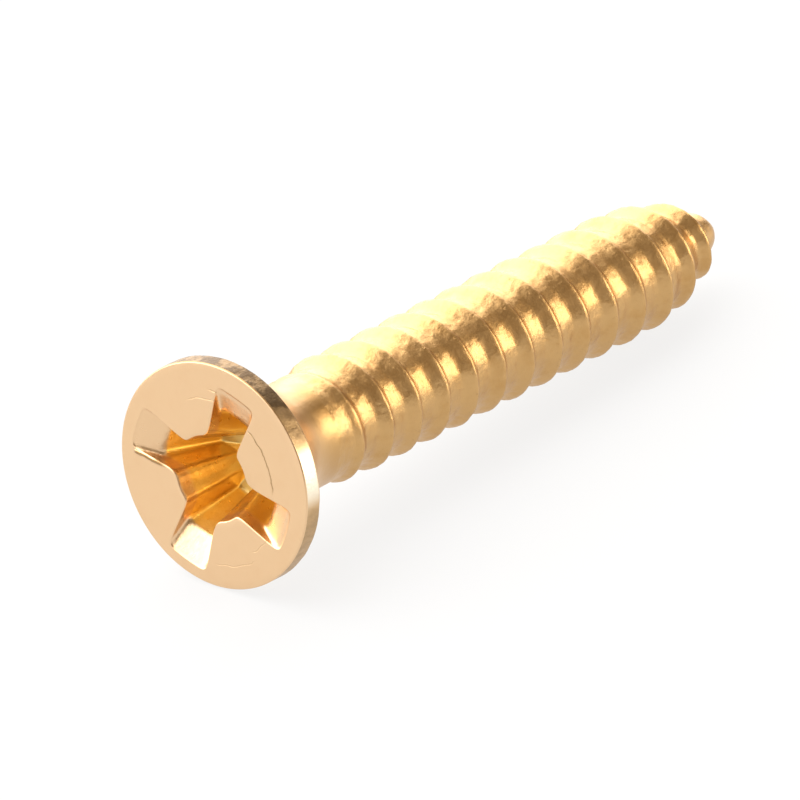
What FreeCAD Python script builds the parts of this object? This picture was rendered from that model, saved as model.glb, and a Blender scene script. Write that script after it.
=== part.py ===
import FreeCAD, Part
import math
import os

import Sketcher

# Wood screw, No. 8 x 1 in (4.2 x 25 mm): flat countersunk head, cross recess, gimlet point.
# The screw's axis is +Y. The head's flat face is at y = 0 and faces -Y, and the point is at
# the far end. Lengths are millimetres and angles are degrees.

os.makedirs("parts", exist_ok=True)

NODE = "wood_screw"

SIZES = {
    "screw_length": 25.4,
    # Head, seat and neck.
    "head_diameter": 7.7,
    "face_edge_round": 0.10,
    "rim_height": 0.65,
    "seat_half_angle": 45.0,
    "neck_diameter": 3.7,
    "neck_blend_radius": 3.5,
    # Cross recess: a tapered core and four wings, each with a shallow ramp at its outer end.
    "recess_turn": 72.0,
    "recess_depth": 2.35,
    "recess_point_depth": 2.85,
    "core_mouth_radius": 1.44,
    "core_floor_radius": 0.80,
    "wing_count": 4,
    "ramp_reach": 3.20,
    "ramp_depth": 0.40,
    "wing_waist_reach": 2.27,
    "wing_floor_reach": 1.45,
    "ramp_width": 1.64,
    "wing_waist_width": 1.40,
    "wing_floor_width": 0.74,
    "wing_root_width": 0.90,
    "wing_root_taper": 0.10,
    # Thread: the groove between the crests is what is cut.
    "thread_diameter": 4.2,
    "thread_root_diameter": 3.4,
    "thread_pitch": 1.43,
    "thread_start": 4.437,
    "run_out_lift": 0.03,
    "main_turns": 11,
    "point_turns": 3,
    "point_root_growth": -0.45,
    "groove_root_round": 0.55,
    "groove_half_angle": 42.0,
    "groove_clearance": 0.45,
    # Gimlet point.
    "point_shoulder": 20.5,
    "point_round": 7.0,
    "point_end_radius": 0.12,
}


class Size:
    """A size with its value and the expression that binds it to the sheet."""

    def __init__(self, value, text):
        self.value = value
        self.text = text

    def _join(self, other, value, sign):
        return Size(value, "(%s %s %s)" % (self.text, sign, as_size(other).text))

    def __add__(self, other):
        return self._join(other, self.value + as_size(other).value, "+")

    def __sub__(self, other):
        return self._join(other, self.value - as_size(other).value, "-")

    def __mul__(self, other):
        return self._join(other, self.value * as_size(other).value, "*")

    def __truediv__(self, other):
        return self._join(other, self.value / as_size(other).value, "/")

    def __neg__(self):
        return Size(-self.value, "(-1 * %s)" % self.text)


def as_size(number):
    """A plain number as a Size, and a Size as it is."""
    if isinstance(number, Size):
        return number
    return Size(float(number), repr(float(number)))


def size(name):
    """One driving dimension, by its name in the sheet."""
    return Size(float(SIZES[name]), "sizes." + name)


def sine_of(angle):
    return Size(math.sin(math.radians(angle.value)), "sin(%s * 1 deg)" % angle.text)


def cosine_of(angle):
    return Size(math.cos(math.radians(angle.value)), "cos(%s * 1 deg)" % angle.text)


def tangent_of(angle):
    return sine_of(angle) / cosine_of(angle)


def make_sheet(doc):
    """The driving dimensions: names in column A, values in column B."""
    sheet = doc.addObject("Spreadsheet::Sheet", "sizes")
    for row, (name, value) in enumerate(SIZES.items(), start=1):
        sheet.set("A%d" % row, name)
        sheet.set("B%d" % row, str(value))
        sheet.setAlias("B%d" % row, name)
    doc.recompute()


def origin_feature(body, role):
    """One of the body's own origin planes or axes."""
    for feature in body.Origin.OriginFeatures:
        if feature.Role == role:
            return feature
    raise ValueError("the body has no " + role)


def new_sketch(body, name, role):
    """An empty sketch on one of the body's own origin planes."""
    sketch = body.newObject("Sketcher::SketchObject", name)
    sketch.AttachmentSupport = [(origin_feature(body, role), "")]
    sketch.MapMode = "FlatFace"
    return sketch


def pin_vertex(sketch, edge, end, point):
    """Holds one end of an edge at a point given by two sizes."""
    for kind, axis, length in zip(("DistanceX", "DistanceY"), (-2, -1), point):
        length = as_size(length)
        if length.value == 0.0:
            sketch.addConstraint(Sketcher.Constraint("PointOnObject", edge, end, axis))
            continue
        index = sketch.addConstraint(Sketcher.Constraint(kind, -1, 1, edge, end, length.value))
        sketch.setExpression("Constraints[%d]" % index, length.text)


def arc_between(start, end, radius):
    """The short arc from start to end. It turns left where the radius is positive."""
    chord = end - start
    left = FreeCAD.Vector(-chord.y, chord.x, 0).normalize()
    rise = math.copysign(math.sqrt(radius * radius - chord.Length ** 2 / 4.0), radius)
    centre = (start + end) * 0.5 + left * rise
    return Part.Arc(start, centre - left * radius, end)


def draw_outline(sketch, points, arcs):
    """Draws a closed outline and holds it with constraints bound to the sheet.

    points lists the corners in order, and arcs maps the number of an edge to its radius,
    which is positive where the edge turns left. The other edges are straight.
    """
    corners = [FreeCAD.Vector(as_size(x).value, as_size(y).value, 0) for x, y in points]
    heads = []
    tails = []
    for edge, start in enumerate(corners):
        end = corners[(edge + 1) % len(corners)]
        radius = arcs.get(edge)
        if radius is None:
            sketch.addGeometry(Part.LineSegment(start, end), False)
        else:
            sketch.addGeometry(arc_between(start, end, radius.value), False)
        turns_left = radius is None or radius.value > 0
        heads.append(1 if turns_left else 2)
        tails.append(2 if turns_left else 1)
    for edge, point in enumerate(points):
        following = (edge + 1) % len(points)
        joint = Sketcher.Constraint("Coincident", edge, tails[edge], following, heads[following])
        sketch.addConstraint(joint)
        pin_vertex(sketch, edge, heads[edge], point)
    for edge, radius in arcs.items():
        index = sketch.addConstraint(Sketcher.Constraint("Radius", edge, abs(radius.value)))
        sketch.setExpression("Constraints[%d]" % index, "abs(%s)" % radius.text)


def revolve(body, kind, name, sketch):
    """A revolution or a groove of the sketch, once around the screw's axis."""
    feature = body.newObject("PartDesign::" + kind, name)
    feature.Profile = sketch
    feature.ReferenceAxis = (sketch, ["V_Axis"])
    feature.Angle = 360
    return feature


def make_blank(body):
    """The solid before its recess and groove: head, seat, neck, crest cylinder and point."""
    head = size("head_diameter") / 2
    neck = size("neck_diameter") / 2
    crest = size("thread_diameter") / 2
    edge = size("face_edge_round")
    rim = size("rim_height")
    seat = size("seat_half_angle")
    # The seat's cone meets the neck's blend where the blend's arc is tangent to it.
    blend = size("neck_blend_radius")
    meet_radius = neck + blend * (as_size(1) - cosine_of(seat))
    meet_y = rim + (head - meet_radius) / tangent_of(seat)
    thread_start = size("thread_start")
    points = [
        (0, 0),
        (head - edge, 0),
        (head, edge),
        (head, rim),
        (meet_radius, meet_y),
        (neck, meet_y + blend * sine_of(seat)),
        (neck, thread_start),
        (crest, thread_start + size("thread_pitch")),
        (crest, size("point_shoulder")),
        (size("point_end_radius"), size("screw_length")),
        (0, size("screw_length")),
    ]
    arcs = {1: edge, 4: -blend, 8: size("point_round")}
    sketch = new_sketch(body, "blank_profile", "XY_Plane")
    draw_outline(sketch, points, arcs)
    return revolve(body, "Revolution", "blank", sketch)


def wing_section(body, name, depth, reach, tip_width, root_width):
    """One wing's outline, square to the axis, at a depth below the head's face."""
    sketch = new_sketch(body, name, "XZ_Plane")
    sketch.setExpression("AttachmentOffset.Base.z", (-depth).text)
    sketch.setExpression("AttachmentOffset.Rotation.Angle", "sizes.recess_turn * 1 deg")
    root = root_width / 2
    tip = tip_width / 2
    draw_outline(sketch, [(0, -root), (reach, -tip), (reach, tip), (0, root)], {})
    return sketch


def make_recess(doc, body):
    """The cross recess: the tapered core, then one wing and its copies around the axis."""
    depth = size("recess_depth")
    core = new_sketch(body, "core_profile", "XY_Plane")
    points = [
        (0, 0),
        (size("core_mouth_radius"), 0),
        (size("core_floor_radius"), depth),
        (0, size("recess_point_depth")),
    ]
    draw_outline(core, points, {})
    revolve(body, "Groove", "recess_core", core)
    doc.recompute()

    root = size("wing_root_width")
    taper = size("wing_root_taper")
    ramp_depth = size("ramp_depth")
    mouth = wing_section(body, "wing_mouth", as_size(0), size("ramp_reach"), size("ramp_width"), root)
    waist = wing_section(body, "wing_waist", ramp_depth, size("wing_waist_reach"),
                         size("wing_waist_width"), root - taper * ramp_depth)
    floor = wing_section(body, "wing_floor", depth, size("wing_floor_reach"),
                         size("wing_floor_width"), root - taper * depth)
    wing = body.newObject("PartDesign::SubtractiveLoft", "recess_wing")
    wing.Profile = mouth
    wing.Sections = [waist, floor]
    wing.Ruled = True
    doc.recompute()

    wings = body.newObject("PartDesign::PolarPattern", "recess_wings")
    wings.Originals = [wing]
    wings.Axis = (origin_feature(body, "Y_Axis"), [""])
    wings.Angle = 360
    wings.setExpression("Occurrences", "sizes.wing_count")
    body.Tip = wings
    doc.recompute()


def groove_section(body, name, root, middle):
    """The groove's outline: a round root, straight flanks and open, parallel upper sides."""
    round_root = size("groove_root_round")
    flank = size("groove_half_angle")
    # The root's arc hands over to each flank where it has the flank's slope.
    hand_over = round_root * (as_size(1) - sine_of(flank))
    half_low = round_root * cosine_of(flank)
    height = (size("thread_diameter") - size("thread_root_diameter")) / 2
    half_high = half_low + (height - hand_over) * tangent_of(flank)
    outside = root + height + size("groove_clearance")
    points = [
        (root + hand_over, middle - half_low),
        (root + height, middle - half_high),
        (outside, middle - half_high),
        (outside, middle + half_high),
        (root + height, middle + half_high),
        (root + hand_over, middle + half_low),
    ]
    sketch = new_sketch(body, name, "XY_Plane")
    draw_outline(sketch, points, {5: round_root})
    return sketch


def cut_groove(doc, body, name, root, middle, turns, growth):
    """Cuts one run of the groove, from a root radius and a height, with a radial growth per turn."""
    sketch = groove_section(body, name + "_section", root, middle)
    groove = body.newObject("PartDesign::SubtractiveHelix", name)
    groove.Profile = sketch
    groove.ReferenceAxis = (sketch, ["V_Axis"])
    groove.Mode = "height-turns-growth"
    groove.setExpression("Height", (turns * size("thread_pitch")).text)
    groove.setExpression("Turns", turns.text)
    groove.setExpression("Growth", growth.text)
    groove.LeftHanded = False
    groove.Reversed = False
    doc.recompute()


def make_thread(doc, body):
    """The thread: one turn of run-out at the neck, the full turns and the run down the point."""
    root = size("thread_root_diameter") / 2
    run_out_root = size("neck_diameter") / 2 + size("run_out_lift")
    start = size("thread_start")
    full = start + size("thread_pitch")
    point = full + size("main_turns") * size("thread_pitch")
    cut_groove(doc, body, "main_groove", root, full, size("main_turns"), as_size(0))
    cut_groove(doc, body, "run_out_groove", run_out_root, start, as_size(1), root - run_out_root)
    cut_groove(doc, body, "point_groove", root, point, size("point_turns"),
               size("point_root_growth"))


def check(doc, body):
    """Stops before anything is written if an object failed or the screw isn't one valid solid."""
    for obj in doc.Objects:
        if "Invalid" in obj.State or "Error" in obj.State:
            raise RuntimeError("%s failed: %s" % (obj.Name, obj.State))
    shape = body.Shape
    if shape.isNull() or not shape.isValid() or len(shape.Solids) != 1:
        raise RuntimeError("%s is not one valid solid" % body.Label)


def cut_checked(doc, body, cut, name):
    """Runs one cut and makes sure that it took material away."""
    before = body.Shape.Volume
    cut(doc, body)
    taken = before - body.Shape.Volume
    print("%s takes %.2f mm3" % (name, taken))
    if taken <= 0.0:
        raise RuntimeError("%s cut nothing" % name)


def main():
    doc = FreeCAD.newDocument(NODE)
    make_sheet(doc)
    body = doc.addObject("PartDesign::Body", NODE)
    body.Label = NODE
    make_blank(body)
    doc.recompute()
    cut_checked(doc, body, make_recess, "recess")
    cut_checked(doc, body, make_thread, "thread")
    check(doc, body)
    print("%s: %.2f mm3" % (body.Label, body.Shape.Volume))
    body.Shape.exportStep("parts/%s.step" % body.Label)


main()
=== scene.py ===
"""Brass countersunk wood screw: head with a cross recess, seat, neck, rolled thread and gimlet point.

The screw's axis is +Y, as in the frame. Sizes are millimetres until a mesh is made.
"""

from __future__ import annotations

import logging
import math
from dataclasses import dataclass, field
from enum import Enum
from typing import Any, Mapping, Union

import bpy
import numpy as np
from mathutils import Matrix, Vector


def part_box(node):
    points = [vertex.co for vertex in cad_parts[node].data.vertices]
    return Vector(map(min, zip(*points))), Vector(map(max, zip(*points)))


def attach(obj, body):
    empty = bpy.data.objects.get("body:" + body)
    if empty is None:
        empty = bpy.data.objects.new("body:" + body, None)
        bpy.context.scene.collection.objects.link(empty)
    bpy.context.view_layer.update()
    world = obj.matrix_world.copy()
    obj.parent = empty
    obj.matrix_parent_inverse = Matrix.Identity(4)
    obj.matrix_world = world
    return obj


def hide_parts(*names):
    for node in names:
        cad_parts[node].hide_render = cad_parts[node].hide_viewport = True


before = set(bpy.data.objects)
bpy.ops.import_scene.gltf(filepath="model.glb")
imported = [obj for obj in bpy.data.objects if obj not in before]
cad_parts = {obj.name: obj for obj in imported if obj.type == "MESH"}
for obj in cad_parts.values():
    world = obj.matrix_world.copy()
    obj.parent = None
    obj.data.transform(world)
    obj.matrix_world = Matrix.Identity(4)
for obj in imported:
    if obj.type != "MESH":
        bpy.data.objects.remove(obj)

LOG = logging.getLogger("wood_screw")
MM = 0.001
NODE = "wood_screw"
PIECE = "wood_screw_brass"

Colour = tuple[float, float, float]
Triple = tuple[float, float, float]
Span = tuple[float, float]


class Zone(Enum):
    """The surfaces of the screw that are finished differently, by their material index."""

    RECESS = 0
    FACE = 1
    RIM = 2
    SHANK = 3


def smooth_step(low: float, high: float, value: np.ndarray) -> np.ndarray:
    """A soft ramp.

    Args:
        low: Where the ramp is 0.
        high: Where the ramp is 1.
        value: Positions to look up.

    Returns:
        The ramp's height at each position.
    """
    part = np.clip((value - low) / (high - low), 0.0, 1.0)
    return part * part * (3.0 - 2.0 * part)


@dataclass(frozen=True)
class Ripple:
    """A fixed, seamless roughness in space, made of sine waves with seeded directions."""

    seed: int
    scale: Triple
    waves: int = 24

    def at(self, points: np.ndarray) -> np.ndarray:
        """Reads the roughness.

        Args:
            points: Points in millimetres, with their coordinates on the last axis.

        Returns:
            Heights between about -1 and 1, one for each point.
        """
        generator = np.random.default_rng(self.seed)
        directions = generator.normal(size=(self.waves, 3)) * np.array(self.scale)
        phases = generator.uniform(0.0, math.tau, self.waves)
        total = np.zeros(points.shape[:-1])
        for direction, phase in zip(directions, phases):
            total += np.sin(points @ direction + phase)
        spread = math.sqrt(self.waves / 2.0)
        return total / (2.0 * spread)


@dataclass
class RingStack:
    """Closed rings of points that follow each other along one surface, each with as many columns."""

    rings: list[np.ndarray] = field(default_factory=list)
    zones: list[Zone] = field(default_factory=list)

    def add(self, ring: np.ndarray, zone: Zone) -> None:
        """Adds one ring; zone is the finish of the strip that leads to it."""
        self.rings.append(ring)
        self.zones.append(zone)

    def build(self, name: str, first_pole: float, last_pole: float) -> bpy.types.Mesh:
        """Joins the rings into one closed mesh.

        Args:
            name: The mesh's name.
            first_pole: Height on the axis that closes the first ring.
            last_pole: Height on the axis that closes the last ring.

        Returns:
            The mesh, in metres, with a material index on each face.
        """
        rows = len(self.rings)
        columns = len(self.rings[0])
        body = np.concatenate(self.rings)
        poles = np.array([[0.0, first_pole, 0.0], [0.0, last_pole, 0.0]])
        points = np.concatenate([body, poles]) * MM
        here = np.arange(columns)
        after = (here + 1) % columns
        faces: list[tuple[int, ...]] = []
        marks: list[int] = []
        for row in range(rows - 1):
            low = row * columns
            high = low + columns
            strip = np.stack([low + here, high + here, high + after, low + after], axis=1)
            faces.extend(map(tuple, strip.tolist()))
            marks.extend([self.zones[row + 1].value] * columns)
        pole = rows * columns
        last = pole - columns
        first_fan = np.stack([np.full(columns, pole), here, after], axis=1)
        last_fan = np.stack([np.full(columns, pole + 1), last + after, last + here], axis=1)
        for fan, zone in ((first_fan, self.zones[0]), (last_fan, self.zones[-1])):
            faces.extend(map(tuple, fan.tolist()))
            marks.extend([zone.value] * columns)
        mesh = bpy.data.meshes.new(name)
        mesh.from_pydata(points.tolist(), [], faces)
        mesh.polygons.foreach_set("material_index", marks)
        mesh.polygons.foreach_set("use_smooth", [True] * len(faces))
        mesh.update()
        return mesh


@dataclass(frozen=True)
class WingSection:
    """The cross recess's outline at one depth."""

    depth: float
    reach: float
    tip_half: float
    root_half: float
    core_radius: float

    def blended(self, other: "WingSection", part: float) -> "WingSection":
        """The outline that lies between this one and another.

        Args:
            other: The outline at the far end.
            part: How much of the way to it, from 0 to 1.

        Returns:
            The outline on the way.
        """

        def mix(mine: float, theirs: float) -> float:
            """One size between two."""
            return mine + (theirs - mine) * part

        return WingSection(
            mix(self.depth, other.depth),
            mix(self.reach, other.reach),
            mix(self.tip_half, other.tip_half),
            mix(self.root_half, other.root_half),
            mix(self.core_radius, other.core_radius),
        )


@dataclass(frozen=True)
class CrossRecess:
    """The punched cross: a tapered core and four wings, each with a shallow ramp at its end."""

    turn: float = math.radians(72.0)
    mouth: WingSection = WingSection(0.0, 3.20, 0.82, 0.45, 1.46)
    waist: WingSection = WingSection(0.40, 2.27, 0.70, 0.43, 1.37)
    floor: WingSection = WingSection(2.35, 1.45, 0.37, 0.33, 0.80)
    point_depth: float = 2.85
    wings: int = 4
    off_centre: float = 0.18
    off_centre_turn: float = math.radians(231.0)
    tip_bulge: float = 0.06
    lug_points: int = 18
    side_points: int = 12
    tip_points: int = 18
    floor_passes: int = 2
    waist_passes: int = 10
    nose_passes: int = 5
    floor_rings: int = 6
    floor_span: Span = (0.06, 0.94)
    wall_rings: int = 16
    ramp_rings: int = 6
    lip_rings: int = 4
    lip_radius: float = 0.035

    @property
    def columns(self) -> int:
        """How many points every ring has."""
        return self.wings * (self.lug_points + 2 * self.side_points + self.tip_points)

    def outline(self, section: WingSection, passes: int) -> np.ndarray:
        """Lays out the cross as one closed line, column by column.

        Args:
            section: The outline's sizes.
            passes: How often the corners are softened.

        Returns:
            Points (x, z), one row for each column.
        """
        slope = (section.tip_half - section.root_half) / section.reach
        # The wing's side leaves the core's circle where x^2 + (root + slope x)^2 = core^2.
        square = 1.0 + slope * slope
        linear = slope * section.root_half
        rest = section.root_half**2 - section.core_radius**2
        start = (-linear + math.sqrt(linear * linear - square * rest)) / square
        corner = math.atan2(section.root_half + slope * start, start)
        lug = np.linspace(-math.pi / 4, -corner, self.lug_points // 2, endpoint=False)
        side = np.linspace(0.0, 1.0, self.side_points, endpoint=False)
        along = start + (section.reach - start) * side
        width = section.root_half + slope * along
        across = np.linspace(-1.0, 1.0, self.tip_points + 1)
        bulge = self.tip_bulge * section.tip_half * (1.0 - across**2)
        back = along + (section.reach - start) / self.side_points
        quarter = np.concatenate(
            [
                np.stack([np.cos(lug), np.sin(lug)], axis=1) * section.core_radius,
                np.stack([along, -width], axis=1),
                np.stack([section.reach + bulge, across * section.tip_half], axis=1)[:-1],
                np.stack([back, width], axis=1)[::-1],
                np.stack([np.cos(-lug), np.sin(-lug)], axis=1)[::-1] * section.core_radius,
            ]
        )
        points = []
        for wing in range(self.wings):
            angle = self.turn + wing * math.tau / self.wings
            along_x, along_z = math.cos(angle), math.sin(angle)
            points.append(quarter @ np.array([[along_x, along_z], [-along_z, along_x]]))
        line = np.concatenate(points)
        for _ in range(passes):
            line = (np.roll(line, 1, axis=0) + 2.0 * line + np.roll(line, -1, axis=0)) / 4.0
        return line + self.shift()

    def shift(self) -> np.ndarray:
        """How far the punch struck off the head's centre, as (x, z)."""
        turn = self.off_centre_turn
        return np.array([math.cos(turn), math.sin(turn)]) * self.off_centre

    def lay(self, stack: RingStack) -> np.ndarray:
        """Adds the recess's rings, from its floor to its lip on the face.

        Args:
            stack: Where the rings go.

        Returns:
            The lip's outer line on the face, as points (x, z).
        """
        bottom = self.outline(self.floor, self.floor_passes)
        for part in np.linspace(*self.floor_span, self.floor_rings).tolist():
            depth = self.point_depth - (self.point_depth - self.floor.depth) * part
            stack.add(lifted(bottom * part, depth), Zone.RECESS)
        more_passes = self.waist_passes - self.floor_passes
        for part in np.linspace(0.0, 1.0, self.wall_rings).tolist():
            section = self.floor.blended(self.waist, part)
            line = self.outline(section, self.floor_passes + round(more_passes * part))
            stack.add(lifted(line, section.depth), Zone.RECESS)
        lip_depth = self.lip_radius / self.waist.depth
        more_passes = self.nose_passes - self.waist_passes
        for part in np.linspace(0.0, 1.0 - lip_depth, self.ramp_rings)[1:].tolist():
            section = self.waist.blended(self.mouth, part)
            line = self.outline(section, round(self.waist_passes + more_passes * part))
            stack.add(lifted(line, section.depth), Zone.RECESS)
        line = self.outline(self.mouth, self.nose_passes)
        ahead = np.roll(line, -1, axis=0) - np.roll(line, 1, axis=0)
        normal = np.stack([ahead[:, 1], -ahead[:, 0]], axis=1)
        normal /= np.linalg.norm(normal, axis=1, keepdims=True)
        for angle in np.linspace(0.0, math.pi / 2, self.lip_rings + 1)[1:].tolist():
            out = self.lip_radius * (1.0 - math.cos(angle))
            down = self.lip_radius * (1.0 - math.sin(angle))
            stack.add(lifted(line + normal * out, down), Zone.FACE)
        return line + normal * self.lip_radius


def lifted(line: np.ndarray, height: Union[float, np.ndarray]) -> np.ndarray:
    """Turns flat points (x, z) into a ring at a height along the axis."""
    return np.stack([line[:, 0], np.broadcast_to(height, len(line)), line[:, 1]], axis=1)


@dataclass(frozen=True)
class Head:
    """The flat face, its rounded edge, the rim, the countersunk seat and the neck's blend."""

    radius: float
    neck_radius: float = 1.85
    edge_round: float = 0.05
    rim_height: float = 0.65
    seat_angle: float = math.radians(45.0)
    blend_radius: float = 3.5
    seat_round: float = 0.10
    face_rings: int = 12
    edge_rings: int = 6
    rim_rings: int = 9
    seat_rings: int = 8
    blend_rings: int = 14
    back_rings: int = 5
    chatter: Ripple = Ripple(11, (9.0, 0.9, 9.0))
    chatter_share: float = 0.0022
    chatter_start: float = 0.12
    chatter_end: float = 0.10

    def lay(self, stack: RingStack, lip: np.ndarray) -> tuple[np.ndarray, float]:
        """Adds the head's rings, from the recess's lip to the neck.

        Args:
            stack: Where the rings go.
            lip: The recess's lip on the face.

        Returns:
            The angle of each column and the height at which the neck begins.
        """
        angles = np.arctan2(lip[:, 1], lip[:, 0])
        spokes = np.stack([np.cos(angles), np.sin(angles)], axis=1)
        flat = self.radius - self.edge_round
        for part in np.linspace(0.0, 1.0, self.face_rings)[1:].tolist():
            stack.add(lifted(lip + (spokes * flat - lip) * part, 0.0), Zone.FACE)
        for angle in np.linspace(0.0, math.pi / 2, self.edge_rings + 1)[1:].tolist():
            radius = flat + self.edge_round * math.sin(angle)
            height = self.edge_round * (1.0 - math.cos(angle))
            stack.add(lifted(spokes * radius, height), Zone.FACE)
        outline = self.side_profile()
        for radius, height in outline:
            ring = lifted(spokes * radius, height)
            here = np.array(height)
            on_rim = 1.0 - smooth_step(self.rim_height, self.rim_height + self.chatter_end, here)
            past_edge = smooth_step(self.edge_round, self.edge_round + self.chatter_start, here)
            rough = self.chatter_share * on_rim * past_edge * self.chatter.at(ring)
            ring[:, ::2] *= (1.0 + rough)[:, None]
            stack.add(ring, Zone.RIM)
        return angles, outline[-1][1]

    def side_profile(self) -> list[tuple[float, float]]:
        """Draws the outline from the rim's front edge to the neck.

        Returns:
            Pairs of radius and height.
        """
        turn = self.seat_angle
        meet_radius = self.neck_radius + self.blend_radius * (1.0 - math.cos(turn))
        meet_height = self.rim_height + (self.radius - meet_radius) / math.tan(turn)
        rim_end = self.rim_height - self.seat_round
        profile = []
        for height in np.linspace(self.edge_round, rim_end, self.rim_rings)[1:].tolist():
            profile.append((self.radius, height))
        # The rim's back edge is a small round between the rim and the seat.
        centre_height = self.rim_height - self.seat_round * math.tan(turn / 2.0)
        for angle in np.linspace(0.0, turn, self.back_rings + 1)[1:].tolist():
            radius = self.radius - self.seat_round * (1.0 - math.cos(angle))
            profile.append((radius, centre_height + self.seat_round * math.sin(angle)))
        last_radius, last_height = profile[-1]
        for part in np.linspace(0.0, 1.0, self.seat_rings + 1)[1:].tolist():
            radius = last_radius + (meet_radius - last_radius) * part
            profile.append((radius, last_height + (meet_height - last_height) * part))
        end_height = meet_height + self.blend_radius * math.sin(turn)
        for angle in np.linspace(turn, 0.0, self.blend_rings + 1)[1:].tolist():
            radius = self.neck_radius + self.blend_radius * (1.0 - math.cos(angle))
            profile.append((radius, end_height - self.blend_radius * math.sin(angle)))
        return profile


@dataclass(frozen=True)
class Thread:
    """The rolled thread: its run-out at the neck, its rounded crests and its gimlet point.

    back_flank and front_flank are the lean of a crest's two sides, away from square to the axis.
    """

    length: float
    neck_radius: float = 1.85
    crest_radius: float = 2.10
    root_radius: float = 1.78
    pitch: float = 1.43
    crest_datum: float = 13.95
    datum_angle: float = math.radians(-55.0)
    crest_half: float = 0.04
    back_flank: float = math.radians(34.0)
    front_flank: float = math.radians(50.0)
    start: float = 4.437
    shoulder: float = 20.5
    point_fall: float = 0.064
    end_cap: float = 1.9
    groove_growth: float = 0.05
    crest_softness: float = 0.075
    floor_softness: float = 0.11
    profile_points: int = 801
    profile_reach: int = 60
    rings_per_pitch: int = 22
    waver: float = 0.012
    waver_fade: float = 1.5
    least_radius: float = 0.1
    broad_waver: Ripple = Ripple(5, (3.2, 2.6, 3.2))
    fine_waver: Ripple = Ripple(8, (9.0, 6.0, 9.0))
    fine_share: float = 0.6
    bend: float = 0.06
    bend_start: float = 19.0
    bend_turn: float = math.radians(125.0)

    def lay(self, stack: RingStack, angles: np.ndarray, start: float) -> None:
        """Adds the shank's rings, from the end of the neck's blend to the point.

        Args:
            stack: Where the rings go.
            angles: The angle of each column.
            start: The height at which the neck begins.
        """
        spokes = np.stack([np.cos(angles), np.sin(angles)], axis=1)
        step = self.pitch / self.rings_per_pitch
        count = round((self.length - start) / step)
        for height in np.linspace(start, self.length, count + 1)[1:-1].tolist():
            heights = np.full(len(angles), height)
            radii = self.radius_at(heights, angles)
            ring = lifted(spokes * radii[:, None], heights)
            fade = min(1.0, (self.length - height) / self.waver_fade)
            uneven = self.broad_waver.at(ring) + self.fine_share * self.fine_waver.at(ring)
            rough = self.waver * fade * uneven
            line = ring[:, ::2] * (1.0 + rough / np.maximum(radii, self.least_radius))[:, None]
            stack.add(lifted(line + self.axis_at(height), heights), Zone.SHANK)

    def axis_at(self, height: float) -> np.ndarray:
        """Finds how far the point's axis has strayed from the screw's.

        Args:
            height: A height along the axis.

        Returns:
            The offset there, as (x, z).
        """
        part = max(0.0, (height - self.bend_start) / (self.length - self.bend_start))
        turned = np.array([math.cos(self.bend_turn), math.sin(self.bend_turn)])
        return turned * self.bend * part * part

    def lift(self, offset: np.ndarray) -> np.ndarray:
        """Finds how far the surface stands from root (0) to crest (1).

        Args:
            offset: Distances along the axis from the nearest crest's line.

        Returns:
            The part of the way up, for each distance.
        """
        depth = self.crest_radius - self.root_radius
        grid = np.linspace(-self.pitch, self.pitch, self.profile_points)
        near = (grid + self.pitch / 2) % self.pitch - self.pitch / 2
        lean = np.where(near > 0.0, math.tan(self.back_flank), math.tan(self.front_flank))
        sharp = np.clip(1.0 - (np.abs(near) - self.crest_half) / (depth * lean), 0.0, 1.0)
        step = grid[1] - grid[0]

        def softened(width: float) -> np.ndarray:
            """Rolls the sharp outline over.

            Args:
                width: How far the rounding spreads.

            Returns:
                The outline with its corners rounded.
            """
            reach = np.arange(-self.profile_reach, self.profile_reach + 1) * step
            weight = np.exp(-0.5 * (reach / width) ** 2)
            return np.convolve(sharp, weight / weight.sum(), mode="same")

        fine = softened(self.crest_softness)
        broad = softened(self.floor_softness)
        shape = broad + (fine - broad) * sharp
        half_turn = np.abs(grid) <= self.pitch / 2 + step
        return np.interp(offset, grid[half_turn], shape[half_turn])

    def radius_at(self, height: np.ndarray, angle: np.ndarray) -> np.ndarray:
        """The surface's radius.

        Args:
            height: Heights along the axis.
            angle: Angles around it.

        Returns:
            One radius for each pair.
        """
        turns = (height - self.crest_datum) / self.pitch + (angle - self.datum_angle) / math.tau
        offset = (turns - np.round(turns)) * self.pitch
        crest = self.crest_at(height)
        root = self.root_at(height)
        return root + (crest - root) * self.lift(offset)

    def crest_at(self, height: np.ndarray) -> np.ndarray:
        """Finds the radius that the crests reach.

        Args:
            height: Heights along the axis.

        Returns:
            One radius for each height.
        """
        rise = smooth_step(self.start - 0.1, self.start + self.pitch, height)
        crest = self.neck_radius + (self.crest_radius - self.neck_radius) * rise
        past = np.clip(height - self.shoulder, 0.0, None)
        into_cap = np.clip((height - self.length + self.end_cap) / self.end_cap, 0.0, 1.0)
        return (crest - self.point_fall * past**2) * np.sqrt(1.0 - into_cap**2)

    def root_at(self, height: np.ndarray) -> np.ndarray:
        """Finds the radius that the groove's floor reaches.

        Args:
            height: Heights along the axis.

        Returns:
            One radius for each height.
        """
        sink = smooth_step(self.start - 0.2, self.start + self.pitch, height)
        past = np.clip(height - self.shoulder, 0.0, None)
        fade = 1.0 - smooth_step(self.length - self.end_cap, self.length - 0.3, height)
        depth = ((self.crest_radius - self.root_radius) * sink + self.groove_growth * past) * fade
        return np.maximum(self.crest_at(height) - depth, 0.0)


@dataclass(frozen=True)
class Grain:
    """A fractal noise in a finish, and how strongly it shows there."""

    scale: float
    detail: float
    roughness: float
    strength: float = 1.0


Operand = Union["Signal", float]


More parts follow.
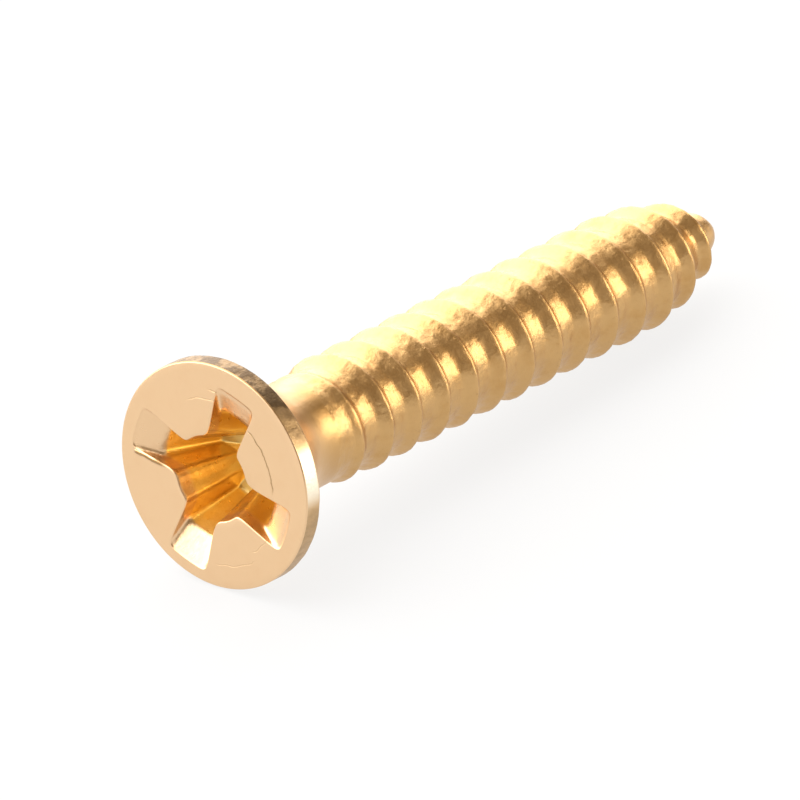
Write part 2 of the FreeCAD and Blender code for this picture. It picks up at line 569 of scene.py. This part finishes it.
@dataclass(frozen=True)
class Signal:
    """One output socket of a shader, used in expressions that add Math nodes."""

    wiring: "Wiring"
    socket: bpy.types.NodeSocket

    def __add__(self, other: Operand) -> "Signal":
        """The sum."""
        return self.wiring.maths("ADD", self, other)

    def __radd__(self, other: Operand) -> "Signal":
        """The sum, with the number first."""
        return self.wiring.maths("ADD", other, self)

    def __sub__(self, other: Operand) -> "Signal":
        """The difference."""
        return self.wiring.maths("SUBTRACT", self, other)

    def __rsub__(self, other: Operand) -> "Signal":
        """The difference, with the number first."""
        return self.wiring.maths("SUBTRACT", other, self)

    def __mul__(self, other: Operand) -> "Signal":
        """The product."""
        return self.wiring.maths("MULTIPLY", self, other)

    def __rmul__(self, other: Operand) -> "Signal":
        """The product, with the number first."""
        return self.wiring.maths("MULTIPLY", other, self)


Paint = Union[Signal, Colour]


class Wiring:
    """The node tree of one material."""

    def __init__(self, name: str) -> None:
        """Starts an empty material with its output node.

        Args:
            name: The material's name.
        """
        self.material = bpy.data.materials.new(name)
        self.material.use_nodes = True
        self.tree = self.material.node_tree
        self.tree.nodes.clear()
        self.output = self.tree.nodes.new("ShaderNodeOutputMaterial")

    def node(
        self, kind: str, settings: Mapping[str, Any], sockets: Mapping[Union[str, int], Any]
    ) -> bpy.types.Node:
        """Adds a node.

        Args:
            kind: The node's type.
            settings: Its own settings, made before any socket is filled.
            sockets: Values or signals for its inputs, by name or number.

        Returns:
            The node.
        """
        made = self.tree.nodes.new(kind)
        for key, value in settings.items():
            setattr(made, key, value)
        for key, value in sockets.items():
            if isinstance(value, Signal):
                self.tree.links.new(value.socket, made.inputs[key])
            else:
                made.inputs[key].default_value = value
        return made

    def signal(self, node: bpy.types.Node, output: Union[str, int] = 0) -> Signal:
        """One output of a node as a signal."""
        return Signal(self, node.outputs[output])

    def maths(self, operation: str, *operands: Operand) -> Signal:
        """Adds a Math node."""
        values = dict(enumerate(operands))
        return self.signal(self.node("ShaderNodeMath", {"operation": operation}, values))

    def clamped(self, value: Signal) -> Signal:
        """The value kept between 0 and 1."""
        return self.maths("MINIMUM", self.maths("MAXIMUM", value, 0.0), 1.0)

    def ramp(self, value: Signal, low: float, high: float) -> Signal:
        """Adds a soft step.

        Args:
            value: What is compared.
            low: Where the step is 0.
            high: Where the step is 1.

        Returns:
            The step's height, from 0 to 1.
        """
        settings = {"interpolation_type": "SMOOTHSTEP"}
        sockets = {"Value": value, "From Min": low, "From Max": high}
        return self.signal(self.node("ShaderNodeMapRange", settings, sockets))

    def noise(self, point: Signal, grain: Grain) -> Signal:
        """Adds a fractal noise.

        Args:
            point: Where it is read.
            grain: Its settings, apart from its strength.

        Returns:
            The noise, mostly between 0.3 and 0.7.
        """
        sockets = {
            "Vector": point,
            "Scale": grain.scale,
            "Detail": grain.detail,
            "Roughness": grain.roughness,
        }
        return self.signal(self.node("ShaderNodeTexNoise", {}, sockets), "Fac")

    def vector(self, x: Operand, y: Operand, z: Operand) -> Signal:
        """Three values as one vector."""
        return self.signal(self.node("ShaderNodeCombineXYZ", {}, {"X": x, "Y": y, "Z": z}))

    def stretched(self, point: Signal, scale: Triple, shift: Triple) -> Signal:
        """The point scaled along each axis and moved aside."""
        sockets = {0: point, 1: scale, 2: shift}
        return self.signal(self.node("ShaderNodeVectorMath", {"operation": "MULTIPLY_ADD"}, sockets))

    def blend(self, share: Signal, first: Paint, second: Paint) -> Signal:
        """Mixes two colours.

        Args:
            share: How much of the second colour there is, from 0 to 1.
            first: The first colour.
            second: The second colour.

        Returns:
            The mixed colour.
        """
        sockets: dict[Union[str, int], Any] = {0: share}
        for index, colour in ((6, first), (7, second)):
            sockets[index] = colour if isinstance(colour, Signal) else (*colour, 1.0)
        return self.signal(self.node("ShaderNodeMix", {"data_type": "RGBA"}, sockets), 2)


@dataclass(frozen=True)
class Place:
    """Where a point of the surface lies, in millimetres, for a finish's marks."""

    point: Signal
    x: Signal
    y: Signal
    z: Signal
    radius: Signal
    turn: Signal

    @classmethod
    def of(cls, wiring: Wiring) -> "Place":
        """Reads the surface's own coordinates.

        Args:
            wiring: The material's node tree.

        Returns:
            The place, in millimetres and radians.
        """
        source = wiring.signal(wiring.node("ShaderNodeTexCoord", {}, {}), "Object")
        sockets = {0: source, "Scale": 1.0 / MM}
        point = wiring.signal(wiring.node("ShaderNodeVectorMath", {"operation": "SCALE"}, sockets))
        split = wiring.node("ShaderNodeSeparateXYZ", {}, {0: point})
        x, y, z = (wiring.signal(split, axis) for axis in "XYZ")
        radius = wiring.maths("SQRT", x * x + z * z)
        return cls(point, x, y, z, radius, wiring.maths("ARCTAN2", z, x))


@dataclass(frozen=True)
class BrassFinish:
    """Bright brass as one part of the screw wears it. Reliefs are in millimetres."""

    name: str
    colour: Colour
    dull_colour: Colour
    roughness: float
    dull_share: float = 0.5
    dull_span: Span = (0.45, 0.75)
    roughness_spread: float = 0.10
    # The dark colour for stains, and on some finishes for painted shade.
    stain_and_shade_colour: Colour = (0.34, 0.19, 0.07)
    stain_roughness: float = 0.15
    patches: Grain = Grain(1.2, 4.0, 0.6)
    polish: Grain = Grain(4.6, 5.0, 0.65)

    def material(self) -> bpy.types.Material:
        """Builds the brass, uneven in colour and polish, with this finish's marks.

        Returns:
            The material.
        """
        wiring = Wiring(self.name)
        place = Place.of(wiring)
        patches = wiring.noise(place.point, self.patches)
        polish = wiring.noise(place.point, self.polish)
        relief, stain_and_shade = self.marks(wiring, place)
        dull = wiring.ramp(patches, *self.dull_span) * self.dull_share
        tint = self.tinted(wiring, place, wiring.blend(dull, self.colour, self.dull_colour))
        bump_sockets = {"Strength": 1.0, "Distance": MM, "Height": relief}
        bump = wiring.node("ShaderNodeBump", {}, bump_sockets)
        uneven = (polish - 0.5) * (2.0 * self.roughness_spread)
        sockets = {
            # The dark colour paints stains, and on some finishes painted shade and a painted dark
            # reflection.
            "Base Color": wiring.blend(stain_and_shade, tint, self.stain_and_shade_colour),
            "Metallic": 1.0,
            "Roughness": self.roughness + uneven + stain_and_shade * self.stain_roughness,
            "Normal": wiring.signal(bump),
        }
        shader = wiring.node("ShaderNodeBsdfPrincipled", {}, sockets)
        wiring.tree.links.new(shader.outputs[0], wiring.output.inputs["Surface"])
        return wiring.material

    def tinted(self, wiring: Wiring, place: Place, tint: Signal) -> Signal:
        """The colour once the finish has changed it from place to place."""
        return tint

    def marks(self, wiring: Wiring, place: Place) -> tuple[Signal, Signal]:
        """The relief and the share of the dark colour, for stains and painted shade; each finish has
        its own.
        """
        raise NotImplementedError


@dataclass(frozen=True)
class ToolMark:
    """A thin arc that a tool left on the head's face, between two angles in degrees."""

    radius: float
    start: float
    end: float
    depth: float
    half_width: float = 0.03
    solid_share: float = 0.3
    fade: float = 8.0

    def drawn(self, wiring: Wiring, place: Place, wander: Signal) -> Signal:
        """Draws the mark.

        Args:
            wiring: The material's node tree.
            place: Where the surface's points lie.
            wander: How far the line strays, in millimetres.

        Returns:
            Its strength, from 0 to 1, which fades at both ends.
        """
        turn = place.turn
        away = wiring.maths("ABSOLUTE", place.radius - self.radius + wander)
        across = 1.0 - wiring.ramp(away, self.solid_share * self.half_width, self.half_width)
        begin = wiring.ramp(turn, math.radians(self.start), math.radians(self.start + self.fade))
        finish = 1.0 - wiring.ramp(turn, math.radians(self.end - self.fade), math.radians(self.end))
        return across * begin * finish


@dataclass(frozen=True)
class Burr:
    """A ragged edge that the punch raised beside a wing, from one point (x, z) to another, drawn dark
    with painted shadow of the wing's lower wall.
    """

    start: Span = (-3.30, -0.05)
    end: Span = (-1.95, -0.26)
    half_width: float = 0.075
    height: float = 0.02
    solid_share: float = 0.3
    wander_share: float = 0.5
    lead_in: Span = (-0.03, 0.06)
    thins_from: float = 0.75

    def drawn(self, wiring: Wiring, place: Place, wander: Signal) -> Signal:
        """Draws the burr.

        Args:
            wiring: The material's node tree.
            place: Where the surface's points lie.
            wander: How far the line strays, in millimetres.

        Returns:
            Its strength, from 0 to 1, which thins out towards the burr's end.
        """
        step_x = self.end[0] - self.start[0]
        step_z = self.end[1] - self.start[1]
        length = math.hypot(step_x, step_z)
        away_x = place.x - self.start[0]
        away_z = place.z - self.start[1]
        along = away_x * (step_x / length) + away_z * (step_z / length)
        across = away_z * (step_x / length) - away_x * (step_z / length)
        side = wiring.maths("ABSOLUTE", across + wander * self.wander_share)
        near = 1.0 - wiring.ramp(side, self.solid_share * self.half_width, self.half_width)
        begin = wiring.ramp(along, *self.lead_in)
        finish = 1.0 - wiring.ramp(along, self.thins_from * length, length)
        return near * begin * finish


@dataclass(frozen=True)
class FaceFinish(BrassFinish):
    """The head's face: satin, with thin tool marks, a few nicks, a burr drawn dark with painted shadow
    and painted shade on the upper rounded edge.

    mark_stain is how dark a tool mark is for each millimetre of its depth. upper_start and
    upper_end are the angles, in radians, between which the face's rounded edge has painted shade.
    """

    name: str = "brass_face"
    colour: Colour = (0.79, 0.54, 0.315)
    dull_colour: Colour = (0.765, 0.505, 0.285)
    roughness: float = 0.30
    roughness_spread: float = 0.03
    tool_marks: tuple[ToolMark, ...] = (
        ToolMark(2.42, -2.0, 58.0, 0.012, 0.036),
        ToolMark(2.95, 62.0, 98.0, 0.006, 0.035),
        ToolMark(2.62, 84.0, 118.0, 0.004),
        ToolMark(2.75, -58.0, -30.0, 0.004),
        ToolMark(3.05, -92.0, -52.0, 0.003),
    )
    mark_stain: float = 55.0
    burr: Burr = Burr()
    # How dark the burr is drawn: painted shadow of the wing's lower wall.
    burr_shadow: float = 0.9
    uneven: Grain = Grain(1.3, 1.0, 0.4, 0.010)
    wander: Grain = Grain(3.0, 3.0, 0.5, 0.16)
    nicks: Grain = Grain(5.0, 4.0, 0.6, 0.006)
    nick_span: Span = (0.60, 0.72)
    nick_stain: float = 0.15
    edge_span: Span = (3.66, 3.78)
    round_depth: Span = (0.002, 0.02)
    round_radius: Span = (3.70, 3.79)
    # Painted shade on the upper part of the face's rounded edge.
    round_shade: float = 0.8
    upper_start: Span = (0.5, 0.9)
    upper_end: Span = (2.9, 3.1)

    def marks(self, wiring: Wiring, place: Place) -> tuple[Signal, Signal]:
        """Tool marks, the burr and its painted shadow, nicks along the edge, painted shade on the
        rounded edge's upper part and a faint unevenness.

        Args:
            wiring: The material's node tree.
            place: Where the surface's points lie.

        Returns:
            The relief, in millimetres, and the share of stain and painted shade.
        """
        relief = wiring.noise(place.point, self.uneven) * self.uneven.strength
        wander = (wiring.noise(place.point, self.wander) - 0.5) * self.wander.strength
        stain_and_shade: Operand = 0.0
        for mark in self.tool_marks:
            strength = mark.drawn(wiring, place, wander)
            relief = relief - strength * mark.depth
            stain_and_shade = stain_and_shade + strength * (mark.depth * self.mark_stain)
        burr = self.burr.drawn(wiring, place, wander)
        relief = relief + burr * self.burr.height
        # The burr is raised and drawn dark with painted shadow of the wing's lower wall.
        stain_and_shade = stain_and_shade + burr * self.burr_shadow
        nicked = wiring.ramp(wiring.noise(place.point, self.nicks), *self.nick_span)
        nicks = wiring.ramp(place.radius, *self.edge_span) * nicked
        relief = relief - nicks * self.nicks.strength
        rounded = wiring.ramp(place.y, *self.round_depth)
        rounded = rounded * wiring.ramp(place.radius, *self.round_radius)
        # Painted shade on the upper part of the rounded edge.
        upper = wiring.ramp(place.turn, *self.upper_start)
        upper = upper * (1.0 - wiring.ramp(place.turn, *self.upper_end))
        stain_and_shade = stain_and_shade + nicks * self.nick_stain + rounded * upper * self.round_shade
        return relief, wiring.clamped(stain_and_shade)


@dataclass(frozen=True)
class RecessFinish(BrassFinish):
    """The recess: walls drawn by the punch, below ramps as pale as the face."""

    name: str = "brass_recess"
    colour: Colour = (0.91, 0.65, 0.24)
    dull_colour: Colour = (0.84, 0.56, 0.18)
    roughness: float = 0.30
    ramp_colour: Colour = (0.79, 0.54, 0.315)
    ramp_end: Span = (0.38, 0.60)
    draw_lines: Grain = Grain(1.0, 3.0, 0.6, 0.003)
    line_scale: Triple = (9.0, 0.7, 9.0)
    line_shift: Triple = (2.0, 3.4, 1.2)
    dents: Grain = Grain(3.0, 3.0, 0.5, 0.02)
    deep_span: Span = (1.6, 2.6)
    # How much darker the colour grows deeper down the recess.
    deep_darkening: float = 0.15

    def tinted(self, wiring: Wiring, place: Place, tint: Signal) -> Signal:
        """The walls' colour below the ramps, and the face's on them."""
        return wiring.blend(wiring.ramp(place.y, *self.ramp_end), self.ramp_colour, tint)

    def marks(self, wiring: Wiring, place: Place) -> tuple[Signal, Signal]:
        """Lines that run down the walls, shallow dents, and colour that darkens deeper down.

        Args:
            wiring: The material's node tree.
            place: Where the surface's points lie.

        Returns:
            The relief, in millimetres, and how much darker the colour is.
        """
        drawn_out = wiring.stretched(place.point, self.line_scale, self.line_shift)
        lines = wiring.noise(drawn_out, self.draw_lines)
        dents = wiring.noise(place.point, self.dents)
        relief = lines * self.draw_lines.strength + dents * self.dents.strength
        # The colour grows darker deeper down the recess.
        return relief, wiring.ramp(place.y, *self.deep_span) * self.deep_darkening


@dataclass(frozen=True)
class RimFinish(BrassFinish):
    """The rim, the seat and the neck: slanted lines, light tarnish round the rim, stretches of painted
    shade on it, a painted highlight on one stretch and painted shade down the neck.

    Each stretch of painted shade is listed by its first and last angle, in degrees, and its strength.
    One stretch carries a painted highlight in a pale colour. fade_out and fade_in are how far, in
    degrees, its ends fade outside and inside it.
    """

    name: str = "brass_rim"
    colour: Colour = (0.78, 0.52, 0.27)
    dull_colour: Colour = (0.66, 0.42, 0.20)
    roughness: float = 0.34
    dull_share: float = 0.7
    stain_and_shade_colour: Colour = (0.12, 0.075, 0.037)
    # Stretches of painted shade round the rim, mostly on its upper side.
    shaded_stretches: tuple[Triple, ...] = (
        (30.0, 52.0, 0.60),
        (52.0, 96.0, 0.90),
        (96.0, 150.0, 0.85),
        (-75.0, -4.0, 0.35),
    )
    tarnish_all_round: float = 0.15
    tarnish_and_shade_end: Span = (0.62, 0.85)
    # A pale colour painted on this stretch of the rim: a painted highlight.
    painted_highlight: Span = (2.0, 24.0)
    painted_highlight_end: Span = (0.58, 0.66)
    painted_highlight_colour: Colour = (1.0, 0.90, 0.72)
    # Painted shade down the neck, in the thread's darker colour.
    neck_shade_colour: Colour = (0.57, 0.34, 0.135)
    neck_span: Span = (1.6, 4.0)
    fade_out: float = 6.0
    fade_in: float = 4.0
    rub_lines: Grain = Grain(1.0, 4.0, 0.65, 0.004)
    lines_round: float = 11.0
    lines_across: float = 1.8
    lines_slant: float = 3.0
    line_span: Span = (0.40, 0.62)
    line_share: float = 0.25
    tarnish_relief: float = 0.030
    rubs: Grain = Grain(3.4, 4.0, 0.6, 0.010)
    rubs_on_rim: float = 0.006

    def stretch(self, wiring: Wiring, turn: Signal, start: float, end: float) -> Signal:
        """Picks out one stretch of the rim.

        Args:
            wiring: The material's node tree.
            turn: The angle around the axis, in radians.
            start: Where the stretch begins, in degrees.
            end: Where it ends, in degrees.

        Returns:
            1 inside the stretch and 0 away from it.
        """
        low, high = math.radians(start - self.fade_out), math.radians(start + self.fade_in)
        begin = wiring.ramp(turn, low, high)
        low, high = math.radians(end - self.fade_in), math.radians(end + self.fade_out)
        return begin * (1.0 - wiring.ramp(turn, low, high))

    def tinted(self, wiring: Wiring, place: Place, tint: Signal) -> Signal:
        """The colour, with a painted highlight on one stretch of the rim and painted shade down the
        neck.

        Args:
            wiring: The material's node tree.
            place: Where the surface's points lie.
            tint: The brass's own colour.

        Returns:
            The colour to wear.
        """
        on_rim = 1.0 - wiring.ramp(place.y, *self.painted_highlight_end)
        # A pale painted highlight on one stretch of the rim.
        painted_highlight = self.stretch(wiring, place.turn, *self.painted_highlight) * on_rim
        # Painted shade down the neck.
        neck = wiring.ramp(place.y, *self.neck_span)
        return wiring.blend(neck, wiring.blend(painted_highlight, tint, self.painted_highlight_colour), self.neck_shade_colour)

    def marks(self, wiring: Wiring, place: Place) -> tuple[Signal, Signal]:
        """Slanted rub lines on the rim, and light tarnish and painted shade that end behind it.

        Args:
            wiring: The material's node tree.
            place: Where the surface's points lie.

        Returns:
            The relief, in millimetres, and the share of tarnish and painted shade.
        """
        across = place.y * self.lines_across + place.turn * self.lines_slant
        lines = wiring.noise(wiring.vector(place.turn * self.lines_round, across, 0.0), self.rub_lines)
        rubs = wiring.noise(place.point, self.rubs)
        on_rim = 1.0 - wiring.ramp(place.y, *self.tarnish_and_shade_end)
        tarnish_and_shade = self.tarnish_all_round * on_rim
        # Stretches of painted shade, mostly on the rim's upper side, join the light tarnish all round.
        for start, end, share in self.shaded_stretches:
            tarnish_and_shade = tarnish_and_shade + self.stretch(wiring, place.turn, start, end) * on_rim * share
        line_height = self.rub_lines.strength + tarnish_and_shade * self.tarnish_relief
        relief = (lines * line_height + rubs * self.rubs_on_rim) * on_rim
        relief = relief + rubs * self.rubs.strength
        streaks = (1.0 - self.line_share) + wiring.ramp(lines, *self.line_span) * self.line_share
        return relief, wiring.clamped(tarnish_and_shade * streaks)


@dataclass(frozen=True)
class ThreadFinish(BrassFinish):
    """The rolled thread: streaks, waves, crumbs, pits and rolled-in scale, a band of painted dark
    reflection in the scale, and brass darkened as painted shade.

    The band's start and end are the angles, in radians, between which the scale's blotches carry a
    painted dark reflection.
    """

    name: str = "brass_thread"
    # The thread's brass is painted darker than the face's: painted shade, for the shaded floor that it
    # reflects.
    colour: Colour = (0.60, 0.37, 0.155)
    dull_colour: Colour = (0.52, 0.29, 0.10)
    roughness: float = 0.36
    dull_share: float = 0.7
    pitch: float = 1.43
    streaks: Grain = Grain(1.0, 4.0, 0.6, 0.016)
    streaks_across: float = 7.0
    streaks_round: float = 0.8
    waves: Grain = Grain(2.6, 3.0, 0.5, 0.032)
    crumbs: Grain = Grain(4.6, 3.0, 0.6, 0.010)
    pits: Grain = Grain(5.5, 4.0, 0.65, 0.006)
    pit_span: Span = (0.60, 0.70)
    pit_stain: float = 0.2
    crest_span: Span = (1.80, 2.08)
    scale: Grain = Grain(2.2, 3.0, 0.6)
    scale_span: Span = (0.48, 0.66)
    scale_stain: float = 0.05
    # A band of painted dark reflection in the scale's blotches, between the two angles below.
    dark_reflection_share: float = 0.60
    dark_reflection_start: Span = (0.55, 0.85)
    dark_reflection_end: Span = (1.15, 1.45)

    def marks(self, wiring: Wiring, place: Place) -> tuple[Signal, Signal]:
        """Streaks, waves, crumbs, pits, scale and a band of painted dark reflection.

        Args:
            wiring: The material's node tree.
            place: Where the surface's points lie.

        Returns:
            The relief, in millimetres, and the share of stain and painted dark reflection.
        """
        climb = (place.y + place.turn * (self.pitch / math.tau)) * self.streaks_across
        round_x = place.x * self.streaks_round
        round_z = place.z * self.streaks_round
        streaks = wiring.noise(wiring.vector(round_x, climb, round_z), self.streaks)
        waves = wiring.noise(place.point, self.waves)
        crumbs = wiring.noise(place.point, self.crumbs)
        pits = wiring.ramp(wiring.noise(place.point, self.pits), *self.pit_span)
        pits = pits * wiring.ramp(place.radius, *self.crest_span)
        relief = streaks * self.streaks.strength + waves * self.waves.strength
        relief = relief + crumbs * self.crumbs.strength - pits * self.pits.strength
        scale = wiring.ramp(wiring.noise(place.point, self.scale), *self.scale_span)
        # A band of painted dark reflection between two angles round the axis, in the scale's blotches.
        dark_reflection = wiring.ramp(place.turn, *self.dark_reflection_start)
        dark_reflection = dark_reflection * (1.0 - wiring.ramp(place.turn, *self.dark_reflection_end))
        stain_and_shade = pits * self.pit_stain + scale * (self.scale_stain + dark_reflection * self.dark_reflection_share)
        return relief, wiring.clamped(stain_and_shade)


@dataclass
class Screw:
    """The whole screw: its recess, head and thread on one closed surface."""

    recess: CrossRecess
    head: Head
    thread: Thread

    @classmethod
    def from_frame(cls) -> "Screw":
        """Sizes the screw from its node in the frame.

        Returns:
            The screw, not yet built.
        """
        low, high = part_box(NODE)
        radius = (high.x - low.x) / 2.0 / MM
        length = high.y / MM
        return cls(CrossRecess(), Head(radius=radius), Thread(length=length))

    def build(self) -> bpy.types.Object:
        """Makes the screw, dresses it and puts it in the node's place.

        Returns:
            The screw's object.
        """
        stack = RingStack()
        lip = self.recess.lay(stack)
        angles, neck_start = self.head.lay(stack, lip)
        self.thread.lay(stack, np.unwrap(angles), neck_start)
        mesh = stack.build(PIECE, self.recess.point_depth, self.thread.length)
        piece = bpy.data.objects.new(PIECE, mesh)
        bpy.context.scene.collection.objects.link(piece)
        finishes = {
            Zone.RECESS: RecessFinish(),
            Zone.FACE: FaceFinish(),
            Zone.RIM: RimFinish(),
            Zone.SHANK: ThreadFinish(),
        }
        for zone in Zone:
            mesh.materials.append(finishes[zone].material())
        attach(piece, "root")
        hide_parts(NODE)
        return piece


@dataclass(frozen=True)
class Floor:
    """The pale sheet that the screw lies on, touching its rim and its last full crests."""

    rim_drop: float
    crest_drop: float = 2.10
    crest_height: float = 20.5
    rim_height: float = 0.6
    half_size: float = 400.0
    gap: float = 0.01
    colour: Colour = (0.10, 0.10, 0.10)
    glow: float = 0.83
    roughness: float = 0.9

    def build(self) -> bpy.types.Object:
        """Makes the sheet, tilted as the screw lies.

        Returns:
            The sheet's object.
        """
        slope = (self.rim_drop - self.crest_drop) / (self.crest_height - self.rim_height)
        corners = []
        for x, y in ((-1, -1), (1, -1), (1, 1), (-1, 1)):
            height = -self.rim_drop - self.gap + slope * (y * self.half_size - self.rim_height)
            corners.append((x * self.half_size * MM, y * self.half_size * MM, height * MM))
        mesh = bpy.data.meshes.new("floor")
        mesh.from_pydata(corners, [], [(0, 1, 2, 3)])
        piece = bpy.data.objects.new("floor", mesh)
        bpy.context.scene.collection.objects.link(piece)
        wiring = Wiring("floor_paper")
        sockets = {
            "Base Color": (*self.colour, 1.0),
            "Roughness": self.roughness,
            "Specular IOR Level": 0.0,
            "Emission Color": (1.0, 1.0, 1.0, 1.0),
            "Emission Strength": self.glow,
        }
        shader = wiring.node("ShaderNodeBsdfPrincipled", {}, sockets)
        wiring.tree.links.new(shader.outputs[0], wiring.output.inputs["Surface"])
        mesh.materials.append(wiring.material)
        return piece


@dataclass(frozen=True)
class SoftLight:
    """One flat soft light, placed by the direction in which it stands from the screw."""

    name: str
    azimuth: float
    elevation: float
    distance: float
    width: float
    height: float
    radiance: float
    colour: Colour = (1.0, 1.0, 1.0)

    def hang(self, aim: Vector) -> bpy.types.Object:
        """Makes the light.

        Args:
            aim: The point that it faces, in millimetres.

        Returns:
            The light's object.
        """
        data = bpy.data.lights.new(self.name, "AREA")
        data.shape = "RECTANGLE"
        data.size = self.width * MM
        data.size_y = self.height * MM
        data.energy = self.radiance * math.pi * data.size * data.size_y
        data.color = self.colour
        lamp = bpy.data.objects.new(self.name, data)
        away = towards(math.radians(self.azimuth), math.radians(self.elevation))
        lamp.location = (aim + away * self.distance) * MM
        lamp.rotation_euler = (-away).to_track_quat("-Z", "Y").to_euler()
        bpy.context.scene.collection.objects.link(lamp)
        return lamp


def towards(azimuth: float, elevation: float) -> Vector:
    """The direction at an azimuth, turned from the head's side of the screw, and an elevation."""
    flat = math.cos(elevation)
    return Vector((math.sin(azimuth) * flat, -math.cos(azimuth) * flat, math.sin(elevation)))


@dataclass(frozen=True)
class Studio:
    """The camera, a large soft sheet on the left, soft strips on the right and a dim room."""

    azimuth: float = math.radians(39.25)
    elevation: float = math.radians(23.85)
    distance: float = 1200.0
    sensor: float = 36.0
    view_width: float = 25.60
    aim_right: float = 5.955
    aim_up: float = 2.425
    view_depth: float = 100.0
    light_height: float = 12.0
    room: Colour = (0.30, 0.235, 0.16)
    lights: tuple[SoftLight, ...] = (
        SoftLight("left_sheet", -87.5, 15.0, 250.0, 2400.0, 2400.0, 2.2),
        SoftLight("left_sheet_middle", -87.5, 15.0, 255.0, 980.0, 1100.0, 1.5),
        SoftLight("right_box", 133.0, 14.0, 200.0, 150.0, 96.0, 3.6),
        SoftLight("right_box_edge", 130.0, 14.0, 205.0, 215.0, 150.0, 0.9, (1.0, 0.78, 0.32)),
        SoftLight("right_strip", 85.0, 26.0, 200.0, 212.0, 70.0, 0.5),
    )

    def aim_camera(self) -> bpy.types.Object:
        """Places the camera on a long lens, looking down at the head from its near side.

        Returns:
            The camera's object.
        """
        back = towards(self.azimuth, self.elevation)
        right = Vector((math.cos(self.azimuth), math.sin(self.azimuth), 0.0))
        up = back.cross(right)
        target = right * self.aim_right + up * self.aim_up
        data = bpy.data.cameras.new("camera")
        data.sensor_width = self.sensor
        data.lens = self.sensor * self.distance / self.view_width
        data.clip_end = self.view_depth
        camera = bpy.data.objects.new("camera", data)
        turn = Matrix((right, up, back)).transposed().to_4x4()
        camera.matrix_world = Matrix.Translation((target + back * self.distance) * MM) @ turn
        bpy.context.scene.collection.objects.link(camera)
        bpy.context.scene.camera = camera
        return camera

    def light(self) -> None:
        """Hangs the soft lights and sets the room's own glow."""
        world = bpy.data.worlds.new("room")
        world.use_nodes = True
        world.node_tree.nodes["Background"].inputs["Color"].default_value = (*self.room, 1.0)
        bpy.context.scene.world = world
        middle = Vector((0.0, self.light_height, 0.0))
        for soft in self.lights:
            soft.hang(middle)


def main() -> None:
    """Builds the screw, its floor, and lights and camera."""
    logging.basicConfig(level=logging.INFO, format="%(name)s %(message)s")
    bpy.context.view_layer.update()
    screw = Screw.from_frame()
    for part in (screw, Floor(rim_drop=screw.head.radius)):
        piece = part.build()
        LOG.info("%s: %d faces", piece.name, len(piece.data.polygons))
    studio = Studio()
    studio.aim_camera()
    studio.light()
    bpy.context.scene.view_settings.view_transform = "Standard"


if __name__ == "__main__":
    main()
